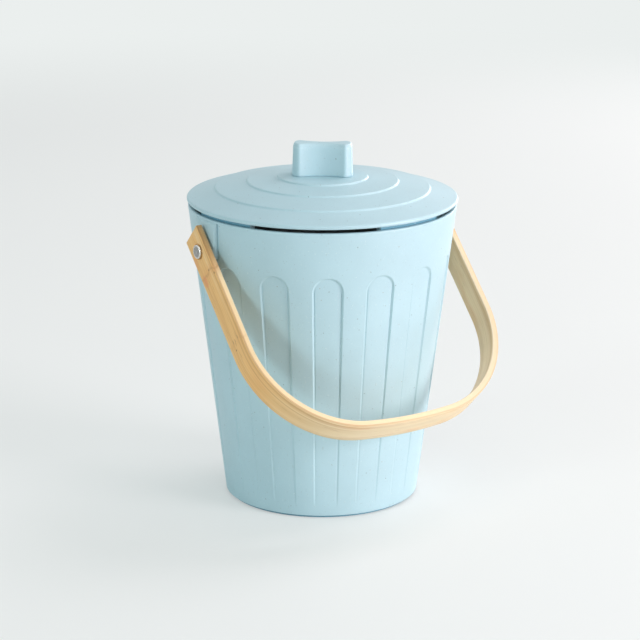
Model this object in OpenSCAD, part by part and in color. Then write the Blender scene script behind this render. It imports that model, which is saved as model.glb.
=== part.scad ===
// Kitchen compost caddy: a tapered fluted bin, a lift-off vented lid with a block
// knob and a twist-off filter tray, and a bent bamboo bail on two pivot screws.
// Millimetres. The origin is the bin's axis on the table, +Z is up, the pivots lie
// along X and the bail hangs forward over -Y.

/* [Bin] */
// Height of the rim above the table
bin_h = 223; // [205:1:250]
// Outer radius at the rim
rim_r = 100; // [94:0.5:110]
// Outer radius at the base
base_r = 72.5; // [64:0.5:84]
// Thickness of the side wall
wall = 3.2; // [2.6:0.1:4.4]
// Thickness of the floor
floor_t = 4; // [3:0.5:7]
// Radius of the rounded heel
heel_r = 3; // [1.5:0.5:5]
// Radius of the curve between wall and floor inside
inner_r = 8; // [4:1:16]
// Rounding of the rim's two edges
rim_round = 1; // [0.5:0.1:1.2]

/* [Flutes] */
// Number of flutes round the wall
flute_n = 15; // [9:1:20]
// Angle that one flute covers, in degrees
flute_deg = 13.2; // [9:0.2:15]
// Distance from the rim down to the top of each arch
flute_drop = 34.3; // [33:0.1:80]
// Height at which a flute has run out
flute_foot = 14; // [8:1:40]
// Depth of a flute under its arch
flute_depth = 1.4; // [0.8:0.1:1.7]

/* [Pivots] */
// Distance from the rim down to the two pivot screws
pivot_drop = 24; // [19:0.5:31]
// Radius of the round lower end of a pad
pad_r = 13; // [10:0.5:15]
// Lean of a pad's two sides, in degrees
pad_lean = 6; // [1:0.5:12]
// How far a pad's face stands out past the rim
pad_proud = 0.1; // [0:0.1:1]
// Radius of the boss inside the wall
boss_r = 9; // [8:0.5:11]
// Thickness of the spacer between pad and arm
spacer_t = 1.4; // [0.8:0.1:3]
// Gap between faces that turn against each other
face_gap = 0.3; // [0.2:0.05:0.5]

/* [Screws] */
// Diameter of the screws
screw_d = 5; // [4:0.5:6]
// Radial clearance of a screw in a fixed piece
screw_gap = 0.15; // [0.1:0.05:0.3]
// Radial clearance of the arm on its screw
run_gap = 0.08; // [0.04:0.01:0.1]
// Diameter of a pivot screw's head
head_d = 10.4; // [9:0.1:12]
// Height of a pivot screw's head
head_h = 2.2; // [1.6:0.1:3]
// Diameter of the washers and spacers
washer_d = 14; // [12:0.5:17]
// Thickness of the metal washers
washer_t = 1.2; // [0.8:0.1:2]
// Width of a cap nut across its flats
nut_w = 8; // [7:0.5:10]
// Height of a cap nut's hexagon
nut_h = 3.6; // [3:0.1:5]

/* [Bail] */
// Width of the bamboo strip
strip_w = 21.8; // [16:0.2:25]
// Thickness of the strip
strip_t = 4.8; // [3.6:0.1:6]
// Reach from the pivots to the middle of the bow
reach = 163.6; // [158:0.2:185]
// Radius of the two corners, along the middle of the strip
corner_r = 77; // [55:1:90]
// Radius of the bow between the corners
bow_r = 343; // [220:1:600]
// Length of the strip past each pivot
tail = 14.3; // [11:0.1:18]
// Depth of the round sinking under a screw's head
sink = 0.7; // [0.3:0.1:1.5]
// How far the bail hangs below level, in degrees
swing = 46.5; // [0:0.5:52]

/* [Lid] */
// Overhang of the lid past the rim
lid_over = 0.8; // [0.2:0.1:1.2]
// Height of the vent gap under the lid's edge
vent_h = 2.6; // [1.6:0.1:4]
// Thickness of the lid's rounded edge
edge_t = 3.2; // [2.4:0.1:4]
// Thickness of the lid's dome
lid_t = 2.8; // [2.2:0.1:3.6]
// Height of the dome's crown above the rim
crown_h = 21.8; // [18:0.2:24]
// Rise of the flat under the knob above the dome around it
seat_rise = 0.1; // [0:0.1:1]
// Radius to which the dome is bent
dome_r = 314; // [280:1:420]
// Radii of the steps on the dome
step_r = [33.7, 56.4, 80.1];
// Height of a step
step_h = 1; // [0.4:0.1:1.6]
// Width of a step's sloped face
step_w = 0.8; // [0.4:0.1:1.6]
// Number of vents under the lid's edge
vent_n = 4; // [3:1:6]
// Angle that one lug between two vents covers, in degrees
lug_deg = 33; // [20:1:40]
// Turn of the lid on the bin, in degrees
lid_turn = -36; // [-90:1:90]

/* [Filter tray] */
// Depth of the lid's legs below the rim
leg_h = 11; // [9:0.5:14]
// Thickness of a leg at its foot
leg_t = 3.8; // [3:0.1:5]
// Clearance between the legs or the tray and the bin's wall
leg_gap = 0.5; // [0.3:0.1:1]
// How far a hook reaches in under a tab of the tray
hook_in = 2; // [1.4:0.1:3]
// Thickness of the hooks and the tabs
hook_t = 2.2; // [1.6:0.1:3]
// Thickness of the tray's floor
tray_t = 2.2; // [1.6:0.1:3]
// Height of the tray's ring wall
ring_h = 7.6; // [6.5:0.1:9]
// Thickness of the tray's ring wall
ring_t = 2; // [1.4:0.1:3]
// Angle that one tab of the tray covers, in degrees
tab_deg = 30; // [15:1:34]
// Width of a slot in the tray
slot_w = 4; // [2.5:0.5:5]
// Number of rings of slots
slot_rings = 6; // [2:1:6]
// Number of slots in a ring
slot_n = 6; // [3:1:8]
// Width of the ribs between slots
rib_w = 6.5; // [4:0.5:7]
// Length of the finger bar under the tray
bar_l = 44; // [30:1:60]
// Height of the finger bar
bar_h = 8; // [5:0.5:12]
// Thickness of the charcoal pad
pad_t = 6; // [3:0.5:6]

/* [Knob] */
// Length of the knob
knob_l = 45; // [36:0.5:50]
// Thickness of the knob at its ends
knob_w = 19.5; // [16:0.5:22]
// Thickness of the knob at its waist
waist_w = 14.5; // [11:0.5:15.5]
// Height of the knob
knob_h = 24.4; // [18:0.2:28]
// Width of the flat stretch at each end of the knob
knob_end = 5.5; // [4.5:0.5:8]
// Lean of the knob's sides, in degrees
knob_lean = 2.5; // [0:0.5:5]
// Rounding of the knob's upright edges
knob_round = 4; // [2:0.5:5]
// Rounding of the knob's top
knob_crown = 2.6; // [1:0.1:4]
// Depth of the screw in the knob
knob_bite = 12; // [8:0.5:16]

/* [Hidden] */
$fn = 96;
// Overlap of a cutter past the piece it cuts, and of a straight side past a round end
over = 1;
ledge = 0.01;

blue = [0.66, 0.80, 0.85];
bamboo = [0.85, 0.70, 0.47];
steel = [0.62, 0.62, 0.60];
nylon = [0.90, 0.90, 0.86];
charcoal = [0.12, 0.12, 0.13];

// The wall is a straight cone. Its inner face is offset square to the slope.
cone_k = (rim_r - base_r) / bin_h;
cone_deg = atan(cone_k);
wall_flat = wall / cos(cone_deg);
function wall_out(z) = base_r + cone_k * z;
function wall_in(z) = wall_out(z) - wall_flat;
// Points of an arc about [cx, cz] from angle a to angle b, leaving out the first few
function arc(cx, cz, r, a, b, n = 6, first = 0) =
    [for (i = [first:n]) [cx + r * cos(a + (b - a) * i / n), cz + r * sin(a + (b - a) * i / n)]];
// Centre of a curve of radius r that touches the level z and the wall's line outer(z)
function heel_c(r) = wall_out(r) - r / cos(cone_deg);
function fillet_c(r) = wall_in(floor_t + r) - r / cos(cone_deg);

// Flutes
flute_top = bin_h - flute_drop;
flute_s = sin(flute_deg / 2);
arch_r = flute_s * wall_out(flute_top) / (1 + cone_k * flute_s);
arch_z = flute_top - arch_r;
flute_run = 0.1;

// Pivot stack, outward from the axis along X
pivot_z = bin_h - pivot_drop;
pad_start = wall_in(pivot_z - pad_r) - wall;
pad_x = rim_r + pad_proud;
arm_in = pad_x + spacer_t + face_gap;
arm_out = arm_in + strip_t;
arm_mid = (arm_in + arm_out) / 2;
head_x = arm_out - sink + face_gap;
boss_x = wall_in(pivot_z - boss_r) - 0.4;
nut_x = boss_x - washer_t;
nut_bore = nut_h + nut_w / 4;

// Bail: straight arms, two corners and a shallow bow
bow_deg = asin((arm_mid - corner_r) / (bow_r - corner_r));
corner_x = arm_mid - corner_r;
corner_y = reach - bow_r + (bow_r - corner_r) * cos(bow_deg);

// Lid
lid_r = rim_r + lid_over;
lid_z = bin_h + vent_h;
crown_z = bin_h + crown_h;
edge_r = edge_t / 2;
seat_r = min(24, step_r[0] - 4);
function dome(r) = crown_z - r * r / (2 * dome_r);
seat_z = dome(seat_r) + seat_rise;
lid_boss_r = 9;
lid_boss_z = seat_z - 6;

// Legs, hooks and tray
foot_z = bin_h - leg_h;
leg_out_foot = wall_in(foot_z) - leg_gap;
leg_in = leg_out_foot - leg_t;
lug_r = rim_r - rim_round * 0.4;
hook_r = leg_in - hook_in;
tray_z = foot_z - face_gap;
ring_r = hook_r - face_gap * 2;
tab_r = leg_in - face_gap * 2;
tab_z = foot_z + hook_t + face_gap;
lug_turn = 180 / vent_n;

// Knob
knob_base = 0.6;
knob_inset = 0.7;
chord = knob_l / 2 - knob_end;
sag = (knob_w - waist_w) / 2;
scoop_r = (chord * chord + sag * sag) / (2 * sag);

// ---- Bin ----
module bin_skin() {
    c = heel_c(heel_r);
    rotate_extrude()
        polygon(concat(
            [[0, 0]],
            arc(c, heel_r, heel_r, -90, -cone_deg),
            arc(wall_out(bin_h - rim_round) - rim_round / cos(cone_deg), bin_h - rim_round,
                rim_round, -cone_deg, 90),
            [[0, bin_h]]));
}
module bin_cavity() {
    c = fillet_c(inner_r);
    lip = wall_in(bin_h - rim_round) + rim_round / cos(cone_deg);
    rotate_extrude()
        polygon(concat(
            [[0, floor_t]],
            arc(c, floor_t + inner_r, inner_r, -90, -cone_deg, 8),
            arc(lip, bin_h - rim_round, rim_round, 180 - cone_deg, 90),
            [[lip, bin_h + over], [0, bin_h + over]]));
}
// Upright outline of one flute, pushed out through the wall from inside the bed
module flute() {
    low = wall_out(flute_foot) * flute_s;
    start = base_r - 4;
    translate([0, -start, 0])
        rotate([90, 0, 0])
            linear_extrude(height = rim_r + over - start) {
                polygon([[-low, flute_foot], [low, flute_foot],
                         [arch_r + ledge, arch_z], [-arch_r - ledge, arch_z]]);
                translate([0, arch_z])
                    circle(r = arch_r);
            }
}
// What is left under the flutes: a cone that meets the skin where they run out
module flute_bed() {
    low = flute_foot - 4;
    high = flute_top + 4;
    fade = (flute_depth - flute_run) / (flute_top - flute_foot);
    translate([0, 0, low])
        cylinder(h = high - low,
                 r1 = wall_out(low) - flute_run + 4 * fade,
                 r2 = wall_out(high) - flute_depth - 4 * fade, $fn = 192);
}
// Flat pad under the rim: straight leaning sides and a round lower end
module pivot_pad() {
    top = bin_h - rim_round - 0.6 - pivot_z;
    low = pad_r + ledge;
    wide = low + top * tan(pad_lean);
    translate([pad_start, 0, pivot_z])
        rotate([90, 0, 90])
            linear_extrude(height = pad_x - pad_start) {
                polygon([[low, 0], [wide, top], [-wide, top], [-low, 0]]);
                circle(r = pad_r);
            }
}
module pivot_boss() {
    translate([boss_x, 0, pivot_z])
        rotate([0, 90, 0])
            cylinder(h = wall_out(pivot_z) - boss_x - wall / 2, r = boss_r);
}
module pivot_bore(r) {
    translate([0, 0, pivot_z])
        rotate([0, 90, 0])
            cylinder(h = arm_out + over, r = r);
}
module bin() {
    color(blue)
        difference() {
            union() {
                difference() {
                    union() {
                        difference() {
                            bin_skin();
                            for (i = [0:flute_n - 1])
                                rotate([0, 0, 90 + i * 360 / flute_n])
                                    flute();
                        }
                        flute_bed();
                        for (s = [0, 1])
                            mirror([s, 0, 0])
                                pivot_pad();
                    }
                    bin_cavity();
                }
                for (s = [0, 1])
                    mirror([s, 0, 0])
                        pivot_boss();
            }
            for (s = [0, 1])
                mirror([s, 0, 0])
                    pivot_bore(screw_d / 2 + screw_gap);
        }
}

// ---- Bail ----
// One face of the strip, from its end round to the middle of the bow
function bail_side(off) = concat(
    [[arm_mid + off, tail]],
    arc(corner_x, -corner_y, corner_r + off, 0, bow_deg - 90, 28),
    arc(0, bow_r - reach, bow_r + off, bow_deg - 90, -90, 4, 1));
// The same face on the other side, without its middle point
function bail_far(side) = [for (i = [len(side) - 2:-1:0]) [-side[i][0], side[i][1]]];
// The strip lying flat: the pivots on the X axis, the bow towards -Y
module bail_flat() {
    outer = bail_side(strip_t / 2);
    inner = bail_side(-strip_t / 2);
    near = bail_far(inner);
    translate([0, 0, -strip_w / 2])
        linear_extrude(height = strip_w)
            polygon(concat(
                outer, bail_far(outer),
                [for (i = [len(near) - 1:-1:0]) near[i]],
                [for (i = [len(inner) - 1:-1:0]) inner[i]]));
}
module handle() {
    color(bamboo)
        translate([0, 0, pivot_z])
            rotate([swing, 0, 0])
                difference() {
                    bail_flat();
                    for (s = [0, 1])
                        mirror([s, 0, 0])
                            rotate([0, 90, 0]) {
                                cylinder(h = arm_out + over, r = screw_d / 2 + run_gap);
                                translate([0, 0, arm_out - sink])
                                    cylinder(h = sink + over, r = head_d / 2 + 0.8);
                            }
                }
}

// ---- Pivot hardware, drawn on the +X side ----
module ring(x, t, d, bore) {
    translate([x, 0, pivot_z])
        rotate([0, 90, 0])
            difference() {
                cylinder(h = t, d = d);
                translate([0, 0, -over])
                    cylinder(h = t + 2 * over, r = bore);
            }
}
module spacer() {
    color(nylon)
        ring(pad_x, spacer_t, washer_d, screw_d / 2 + screw_gap);
}
module inner_washer() {
    color(steel)
        ring(nut_x, washer_t, washer_d, screw_d / 2 + screw_gap);
}
module pivot_screw() {
    tip = nut_x - nut_bore + 1;
    dome_h = head_h * 0.6;
    dome_c = (head_d * head_d / 4 + dome_h * dome_h) / (2 * dome_h);
    dome_a = asin(head_d / 2 / dome_c);
    color(steel)
        translate([0, 0, pivot_z])
            rotate([0, 90, 0])
                difference() {
                    union() {
                        translate([0, 0, tip])
                            cylinder(h = head_x - tip + over / 2, d = screw_d);
                        translate([0, 0, head_x])
                            rotate_extrude()
                                polygon(concat(
                                    [[0, 0], [head_d / 2, 0]],
                                    arc(0, head_h - dome_c, dome_c, 90 - dome_a, 90)));
                    }
                    translate([0, 0, head_x + head_h - 0.5])
                        cylinder(h = over, d = head_d / 5);
                }
}
module cap_nut() {
    color(steel)
        translate([nut_x, 0, pivot_z])
            rotate([0, -90, 0])
                difference() {
                    union() {
                        cylinder(h = nut_h, d = nut_w / cos(30), $fn = 6);
                        translate([0, 0, nut_h])
                            intersection() {
                                sphere(d = nut_w);
                                cylinder(h = nut_w, d = nut_w + over);
                            }
                    }
                    translate([0, 0, -over])
                        cylinder(h = nut_bore + over, r = screw_d / 2 + screw_gap);
                }
}

// ---- Lid ----
// Top of the dome, with each terrace a shallow cone between two steps
function terrace() = [
    for (r = step_r)
        for (s = [-1, 1])
            [r + s * step_w / 2, dome(r) - s * step_h / 2]];
module lid_dome() {
    under = lid_r - edge_t * 1.5;
    n = 8;
    rotate_extrude()
        polygon(concat(
            [[0, seat_z], [seat_r, seat_z]],
            terrace(),
            arc(lid_r - edge_r, lid_z + edge_r, edge_r, 80, -90, 8),
            [[under, lid_z]],
            [for (i = [0:n - 1])
                let (r = under - 2 - (under - 2 - lid_boss_r) * i / (n - 1))
                    [r, dome(r) - lid_t]],
            [[lid_boss_r, lid_boss_z], [0, lid_boss_z]]));
}
// Lug that rests on the rim, with the leg and hook that hang inside it
module lid_lug() {
    sunk = lid_t / 2;
    rotate([0, 0, -90 - lug_deg / 2])
        rotate_extrude(angle = lug_deg, $fn = 192)
            polygon([
                [hook_r, foot_z], [leg_out_foot, foot_z],
                [wall_in(bin_h - rim_round) - leg_gap, bin_h - rim_round],
                [wall_in(bin_h - rim_round) - leg_gap, bin_h],
                [lug_r, bin_h], [lug_r, lid_z + edge_r / 2],
                [leg_in, dome(leg_in) - sunk],
                [leg_in, foot_z + hook_t], [hook_r, foot_z + hook_t]]);
}
module lid() {
    color(blue)
        rotate([0, 0, lid_turn])
            difference() {
                union() {
                    lid_dome();
                    for (i = [0:vent_n - 1])
                        rotate([0, 0, lug_turn + i * 360 / vent_n])
                            lid_lug();
                }
                translate([0, 0, lid_boss_z - over])
                    cylinder(h = lid_t + 20, r = screw_d / 2 + screw_gap);
            }
}

// ---- Knob and its screw ----
module knob_plan() {
    x = knob_l / 2 - knob_round;
    y = knob_w / 2 - knob_round;
    difference() {
        union() {
            square([knob_l - 2 * knob_round, knob_w], center = true);
            square([knob_l, knob_w - 2 * knob_round], center = true);
            for (sx = [-x, x], sy = [-y, y])
                translate([sx, sy])
                    circle(r = knob_round);
        }
        for (s = [-1, 1])
            translate([0, s * (waist_w / 2 + scoop_r)])
                circle(r = scoop_r, $fn = 192);
    }
}
// Outline with a small step at the foot, leaning sides and rounded upper corners
module knob_side(w) {
    r = knob_crown;
    cz = knob_h - r;
    cx = w / 2 - (cz - knob_base) * tan(knob_lean) - r / cos(knob_lean);
    polygon(concat(
        [[-w / 2 + knob_inset, 0], [w / 2 - knob_inset, 0], [w / 2 - knob_inset, knob_base],
         [w / 2, knob_base]],
        arc(cx, cz, r, knob_lean, 90),
        arc(-cx, cz, r, 90, 180 - knob_lean),
        [[-w / 2, knob_base], [-w / 2 + knob_inset, knob_base]]));
}
module knob() {
    color(blue)
        translate([0, 0, seat_z])
            rotate([0, 0, lid_turn])
                difference() {
                    intersection() {
                        linear_extrude(height = knob_h)
                            knob_plan();
                        translate([0, knob_w, 0])
                            rotate([90, 0, 0])
                                linear_extrude(height = 2 * knob_w)
                                    knob_side(knob_l);
                        translate([-knob_l, 0, 0])
                            rotate([90, 0, 90])
                                linear_extrude(height = 2 * knob_l)
                                    knob_side(knob_w);
                    }
                    translate([0, 0, -over])
                        cylinder(h = knob_bite + 2 + over, r = screw_d / 2 + screw_gap);
                }
}
module knob_washer() {
    color(steel)
        translate([0, 0, lid_boss_z - washer_t])
            difference() {
                cylinder(h = washer_t, d = washer_d);
                translate([0, 0, -over])
                    cylinder(h = washer_t + 2 * over, r = screw_d / 2 + screw_gap);
            }
}
module knob_screw() {
    head = screw_d * 1.9;
    head_t = screw_d * 0.6;
    drive = screw_d * 0.8;
    low = lid_boss_z - washer_t;
    color(steel)
        difference() {
            union() {
                translate([0, 0, low - head_t])
                    cylinder(h = head_t, d = head);
                translate([0, 0, low - over])
                    cylinder(h = seat_z + knob_bite - low + over, d = screw_d);
            }
            for (a = [0, 90])
                rotate([0, 0, a])
                    translate([0, 0, low - head_t])
                        cube([drive, 1, head_t], center = true);
        }
}

// ---- Filter ----
module tray_slots() {
    pitch = (ring_r - ring_t - slot_w) / (slot_rings + 0.5);
    for (k = [1:slot_rings]) {
        r = k * pitch;
        gap = 2 * asin(rib_w / 2 / r);
        for (i = [0:slot_n - 1])
            rotate([0, 0, i * 360 / slot_n + gap / 2 - 90])
                rotate_extrude(angle = 360 / slot_n - gap)
                    translate([r, tray_z - tray_t - over])
                        square([slot_w, tray_t + 2 * over]);
    }
}
module filter_tray() {
    color(blue)
        rotate([0, 0, lid_turn]) {
            difference() {
                rotate_extrude()
                    polygon([
                        [0, tray_z - tray_t], [wall_in(tray_z - tray_t) - leg_gap, tray_z - tray_t],
                        [wall_in(tray_z - tray_t) - leg_gap, tray_z], [ring_r, tray_z],
                        [ring_r, tray_z + ring_h], [ring_r - ring_t, tray_z + ring_h],
                        [ring_r - ring_t, tray_z], [0, tray_z]]);
                tray_slots();
            }
            for (i = [0:vent_n - 1])
                rotate([0, 0, lug_turn + i * 360 / vent_n - 90 - tab_deg / 2])
                    rotate_extrude(angle = tab_deg, $fn = 192)
                        translate([ring_r - ring_t / 2, tab_z])
                            square([tab_r - ring_r + ring_t / 2, hook_t]);
            translate([0, 0, tray_z - tray_t - bar_h / 2])
                cube([bar_l, rib_w, bar_h + 0.2], center = true);
        }
}
module filter_pad() {
    color(charcoal)
        translate([0, 0, tray_z])
            cylinder(h = pad_t, r = ring_r - ring_t - 0.5);
}

bin();
handle();
lid();
knob();
knob_washer();
knob_screw();
filter_tray();
filter_pad();
mirror([1, 0, 0]) spacer();  // spacer_left
spacer();  // spacer_right
mirror([1, 0, 0]) pivot_screw();  // pivot_screw_left
pivot_screw();  // pivot_screw_right
mirror([1, 0, 0]) inner_washer();  // inner_washer_left
inner_washer();  // inner_washer_right
mirror([1, 0, 0]) cap_nut();  // cap_nut_left
cap_nut();  // cap_nut_right
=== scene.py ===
import math

import bmesh
import bpy
import numpy as np
from mathutils import Matrix, Vector


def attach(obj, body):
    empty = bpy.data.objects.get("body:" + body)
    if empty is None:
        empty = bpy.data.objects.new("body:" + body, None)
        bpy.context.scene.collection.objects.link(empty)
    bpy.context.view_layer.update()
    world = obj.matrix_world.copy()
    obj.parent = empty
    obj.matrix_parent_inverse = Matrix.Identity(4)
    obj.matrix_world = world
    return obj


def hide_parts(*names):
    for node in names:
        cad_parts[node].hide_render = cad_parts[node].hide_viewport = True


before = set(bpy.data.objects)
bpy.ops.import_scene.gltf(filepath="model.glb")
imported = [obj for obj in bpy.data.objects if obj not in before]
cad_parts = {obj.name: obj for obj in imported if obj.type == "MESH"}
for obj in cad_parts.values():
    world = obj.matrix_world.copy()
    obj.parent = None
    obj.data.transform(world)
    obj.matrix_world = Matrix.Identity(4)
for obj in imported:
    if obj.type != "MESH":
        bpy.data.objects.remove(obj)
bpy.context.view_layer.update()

MM = 0.001

# ---------------------------------------------------------------- sizes
# In mm, with angles in degrees, and named as in the part's source where it has them

# Bin: wall and floor, foot ring, rounds, and the heights of its rows
BIN_H, RIM_R, BASE_R, WALL, FLOOR_T = 223.0, 100.0, 72.5, 3.2, 4.0
FOOT_RING, FOOT_H, FOOT_ROUND, INNER_R, RIM_ROUND = 70.7, 1.7, 0.4, 8.0, 1.0
FOOT_CUT_IN, FOOT_CUT_UP = 0.3, 0.25
OUTER_Z = (2.6, 4.0, 6.5, 9, 11, 13, 15, 18, 22, 28, 36, 48, 62, 78, 96, 114, 132, 148, 160,
           168, 173, *np.arange(175.5, 190.6, 0.5), 191.5, 193, 196, 200, 205, 211, 216, 219.5)
INNER_Z = (219, 214, 205, 190, 165, 135, 100, 65, 38, 20)

# Flutes: FLUTE_HALF is half their width as an angle. Their depth fades in above the foot and
# then grows to the top. A fine crease runs where the floor of a flute meets its soft side.
FLUTE_N, FLUTE_HALF, FLUTE_TOP, FLUTE_FOOT = 15, 6.6, 188.7, 14.0
FLUTE_DEPTH_FOOT, FLUTE_DEPTH_MORE, FADE_Z, FADE_H = 0.30, 1.10, 9.0, 6.0
SIDE_HALF, CREASE_AT, CREASE_W, CREASE_DEEP, CREASE_FADE = 0.5, 0.85, 0.32, 0.30, 4.0
# Columns across a flute's side, in mm from it at the radius COLUMN_R
SIDE_COLUMNS = (-1.7, -1.35, -1.1, -0.85, -0.65, -0.5, -0.33, -0.17,
                0.0, 0.17, 0.33, 0.5, 0.8, 1.2)
COLUMN_R, RADIAN_DEG, FLOOR_COLUMNS, LAND_COLUMNS = 95.0, 57.3, 24, 6

# Pivots: pads with a groove round them, bosses inside the wall, screws
PIVOT_Z, PAD_R, PAD_LEAN, PAD_X = 199.0, 10.0, 8.5, 100.1
PAD_TOP = BIN_H - RIM_ROUND - 0.6 - PIVOT_Z
PAD_MID, PAD_ROOT = 4.0, 2.2
PAD_RISE = ((0.0, 0.25), (0.4, 0.55), (1.0, 0.80), (1.8, 0.95), (2.7, 1.0))  # inset, share
GROOVE_W, GROOVE_D, GROOVE_DROP, GROOVE_OUT = 2.1, 0.7, 0.05, 12.0
BOSS_R, BOSS_X, BOSS_END, BOSS_CUT = 9.0, 92.3, 95.2, 0.4
BORE_R, BORE_FROM, BORE_TO = 2.65, 80.0, 110.0
HEAD_D, HEAD_H, HEAD_ROLL, HEAD_RIM, SHANK_L, SHANK_R = 10.4, 2.14, 0.85, 0.16, 18.0, 2.5

# Handle: the strip, its arms, corners and bow, and its ends
STRIP_W, STRIP_T, STRIP_EDGE, END_SKEW = 21.8, 4.8, 0.5, 1.6
REACH, CORNER_R, BOW_R, TAIL, SINK = 163.6, 77.0, 343.0, 14.3, 0.7
ARM_IN, SWING, RUN_R, RUN_FROM, RUN_TO, SINK_GAP = 101.8, 46.5, 2.58, 90.0, 115.0, 0.8
ARM_ROWS = (TAIL, TAIL - 0.15, TAIL - 0.4, 10.0, 7.0, 3.5, 0.0,
            -3.5, -7.0, -12.0, -25.0, -40.0, -55.0, -70.0)
END_SHRINK = (0.3, 0.08, 0.0)
CORNER_ROWS, BOW_ROWS = 36, 8

# Lid: edge, dome, seat of the knob, steps, lugs with their legs and hooks
LID_R, LID_Z, EDGE_T, LID_T, CROWN_Z, DOME_R = 100.78, 225.6, 3.2, 2.8, 244.8, 314.0
SEAT_Z, SEAT_R, SEAT_MID, SEAT_CUT = 243.98, 24.0, 10.0, 3.0
LID_BOSS_R, LID_BOSS_Z, LID_BOSS_CUT = 9.0, 237.98, 0.4
STEP_R, STEP_H, STEP_W, STEP_CUT = (33.7, 56.4, 80.1), 1.25, 0.8, 0.55
VENT_N, LUG_DEG, LUG_R, LUG_ROWS, LUG_CUT, LID_TURN = 4, 33.0, 97.4, 16, 0.3, -36.0
FOOT_Z, LEG_GAP, LEG_T, HOOK_IN, HOOK_T = 212.0, 0.5, 3.8, 2.0, 2.2

# Knob
KNOB_L, KNOB_W, WAIST_W, KNOB_H, KNOB_END, KNOB_ROUND = 45.2, 21.0, 12.2, 24.38, 5.8, 8.0
KNOB_CROWN, KNOB_SHOULDER, KNOB_LEAN = 3.9, 3.3, 2.5
KNOB_FOOT = ((0.55, 0.0), (0.4, 0.1), (0.12, 0.35), (0.03, 0.7))             # inset, height
KNOB_SHARP = 0.6                                 # insets over this follow the softer normals

# Filter pad
TRAY_Z, PAD_T, PAD_DISC_R, PAD_LOW_ROUND, PAD_TOP_ROUND = 211.7, 6.0, 86.02, 1.4, 2.0
FELT_SINK, FELT_WAVE = 0.25, 0.08

# Values that follow from the sizes
CONE_K = (RIM_R - BASE_R) / BIN_H
CONE_A = math.atan(CONE_K)
FLUTE_S = math.sin(math.radians(FLUTE_HALF))
PITCH = 360.0 / FLUTE_N
ARM_MID, ARM_OUT = ARM_IN + STRIP_T / 2, ARM_IN + STRIP_T
HEAD_X = ARM_OUT - SINK + 0.3
BOW_A = math.asin((ARM_MID - CORNER_R) / (BOW_R - CORNER_R))
CORNER_X = ARM_MID - CORNER_R
CORNER_Y = REACH - BOW_R + (BOW_R - CORNER_R) * math.cos(BOW_A)


def wall_out(z):
    return BASE_R + CONE_K * z


def wall_in(z):
    return wall_out(z) - WALL / math.cos(CONE_A)


def dome(r):
    return CROWN_Z - r * r / (2 * DOME_R)


# ---------------------------------------------------------------- mesh helpers
def arc(cx, cz, r, a, b, n=6):
    """Points of an arc, from angle a to b in degrees."""
    return [(cx + r * math.cos(math.radians(a + (b - a) * i / n)),
             cz + r * math.sin(math.radians(a + (b - a) * i / n))) for i in range(n + 1)]


def soften(points, sizes, n):
    """Rounds the corners of an open line in n steps. sizes holds a cut-back length a point."""
    out = [points[0]]
    for i in range(1, len(points) - 1):
        p, q, r = (np.array(points[j], float) for j in (i - 1, i, i + 1))
        a, b = p - q, r - q
        la, lb = np.linalg.norm(a), np.linalg.norm(b)
        c = min(sizes[i], la * 0.45, lb * 0.45)
        a, b = q + a / la * c, q + b / lb * c
        for k in range(n + 1):
            t = k / n
            out.append(tuple((1 - t) ** 2 * a + 2 * t * (1 - t) * q + t * t * b))
    out.append(points[-1])
    return out


def make(name, verts, faces, smooth_deg=35.0):
    """A mesh object from millimetres, shaded smooth up to an angle."""
    mesh = bpy.data.meshes.new(name)
    mesh.from_pydata([tuple(v) for v in np.asarray(verts, float) * MM], [], faces)
    mesh.validate()
    obj = bpy.data.objects.new(name, mesh)
    bpy.context.scene.collection.objects.link(obj)
    tidy(obj, smooth_deg)
    return obj


def tidy(obj, smooth_deg=35.0):
    """Welds, turns the faces outward and marks the sharp edges."""
    bm = bmesh.new()
    bm.from_mesh(obj.data)
    bmesh.ops.remove_doubles(bm, verts=bm.verts, dist=1e-6)
    bmesh.ops.recalc_face_normals(bm, faces=bm.faces)
    for f in bm.faces:
        f.smooth = True
    sharp = sharp_edges(bm, smooth_deg)
    for e in bm.edges:
        e.smooth = e not in sharp
    bm.to_mesh(obj.data)
    bm.free()


def sharp_edges(bm, deg):
    """The edges at which two faces meet at more than an angle."""
    limit = math.radians(deg)
    return {e for e in bm.edges if len(e.link_faces) == 2 and e.calc_face_angle(0.0) > limit}


def bevelled(obj, width, deg=30.0):
    """Cuts the sharp edges of an object back to a small round."""
    bm = bmesh.new()
    bm.from_mesh(obj.data)
    edges = sorted(sharp_edges(bm, deg), key=lambda e: e.index)
    bmesh.ops.bevel(bm, geom=edges, offset=width * MM, segments=2, profile=0.5, affect="EDGES")
    bm.to_mesh(obj.data)
    bm.free()
    return obj


def merge(obj, tool, how):
    """Unites or cuts obj with tool, exactly, and removes the tool."""
    mod = obj.modifiers.new("bool", "BOOLEAN")
    mod.operation, mod.solver, mod.object = how, "EXACT", tool
    depsgraph = bpy.context.evaluated_depsgraph_get()
    mesh = bpy.data.meshes.new_from_object(obj.evaluated_get(depsgraph))
    obj.modifiers.remove(mod)
    old, obj.data = obj.data, mesh
    bpy.data.meshes.remove(old)
    bpy.data.objects.remove(tool)


def grid_faces(rows, cols):
    """Faces between rows of points, each row a closed loop."""
    faces = []
    for i in range(rows - 1):
        a, b = i * cols, (i + 1) * cols
        for j in range(cols):
            k = (j + 1) % cols
            faces.append((a + j, a + k, b + k, b + j))
    return faces


def end_faces(rows, cols):
    """The two faces that close a grid of rows."""
    last = (rows - 1) * cols
    return [tuple(range(cols)), tuple(range(last + cols - 1, last - 1, -1))]


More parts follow.
